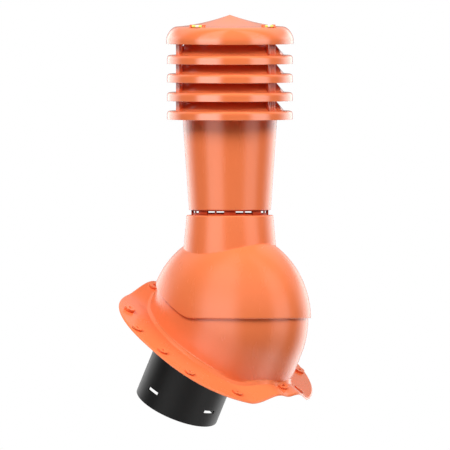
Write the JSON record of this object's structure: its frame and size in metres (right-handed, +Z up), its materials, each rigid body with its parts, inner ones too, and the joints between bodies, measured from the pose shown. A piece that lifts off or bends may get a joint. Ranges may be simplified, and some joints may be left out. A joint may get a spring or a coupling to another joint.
{
  "type": "roof vent pipe",
  "caption": "Plastic roof vent pipe with a corrugated flange, a tilting dome on a bowl, a tapered pipe and a louvred hood.",
  "frame": {"origin": "where the pipe's upright axis meets the plane of the roof, on which the flange's valleys lie", "axes": "+Z up along the pipe, +X along the roof's courses and the tilt axis, and the roof falls towards -Y"},
  "size_m": [0.289, 0.2852, 0.5997],
  "materials": {
    "terracotta_plastic": "satin",
    "black_plastic": "satin",
    "level_liquid": "clear and glossy"
  },
  "bodies": {
    "base": {"roof_base": "terracotta_plastic", "duct_stub": "black_plastic"},
    "upper": {"swivel_dome": "terracotta_plastic", "tapered_pipe": "terracotta_plastic", "louvre_ring_1": "terracotta_plastic", "louvre_ring_2": "terracotta_plastic", "louvre_ring_3": "terracotta_plastic", "louvre_ring_4": "terracotta_plastic", "hood_cap": "terracotta_plastic", "level_vial_side": "level_liquid", "level_vial_front": "level_liquid"}
  },
  "joints": [
    {"name": "roof_tilt", "type": "hinge", "parent": "base", "child": "upper", "pos_m": [0, 0, 0.05574], "axis": [1, 0, 0], "range_deg": [0, 28]}
  ]
}
